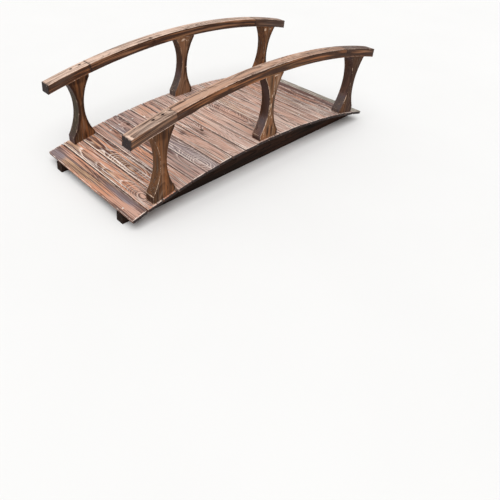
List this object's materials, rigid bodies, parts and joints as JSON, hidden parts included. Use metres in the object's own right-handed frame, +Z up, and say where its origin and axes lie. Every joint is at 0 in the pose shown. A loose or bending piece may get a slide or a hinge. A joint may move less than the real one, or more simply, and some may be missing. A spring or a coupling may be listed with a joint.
{
  "type": "arched garden footbridge",
  "caption": "Small arched wooden garden bridge with cross planks on two arched stringers, waisted posts and curved handrails on both sides.",
  "frame": {"origin": "on the floor, under the middle of the bridge", "axes": "+X along the bridge from its start to its end, +Y to its left side, +Z up"},
  "size_m": [1.498, 0.63, 0.492],
  "materials": {
    "deck_wood": "rough, carbonised and brushed, strong grain",
    "post_wood": "satin, carbonised, worn pale along the edges",
    "rail_wood": "satin, carbonised, ends painted black",
    "stringer_wood": "matt, charred nearly black"
  },
  "bodies": {
    "root": {"stringer_left": "stringer_wood", "stringer_right": "stringer_wood", "plank_01": "deck_wood", "plank_02": "deck_wood", "plank_03": "deck_wood", "plank_04": "deck_wood", "plank_05": "deck_wood", "plank_06": "deck_wood", "plank_07": "deck_wood", "plank_08": "deck_wood", "plank_09": "deck_wood", "plank_10": "deck_wood", "plank_11": "deck_wood", "plank_12": "deck_wood", "plank_13": "deck_wood", "plank_14": "deck_wood", "plank_15": "deck_wood", "plank_16": "deck_wood", "plank_17": "deck_wood", "plank_18": "deck_wood", "plank_19": "deck_wood", "plank_20": "deck_wood", "post_left_start": "post_wood", "post_left_middle": "post_wood", "post_left_end": "post_wood", "post_right_start": "post_wood", "post_right_middle": "post_wood", "post_right_end": "post_wood", "handrail_left_start": "rail_wood", "handrail_left": "rail_wood", "handrail_left_end": "rail_wood", "handrail_right_start": "rail_wood", "handrail_right": "rail_wood", "handrail_right_end": "rail_wood"}
  },
  "joints": []
}
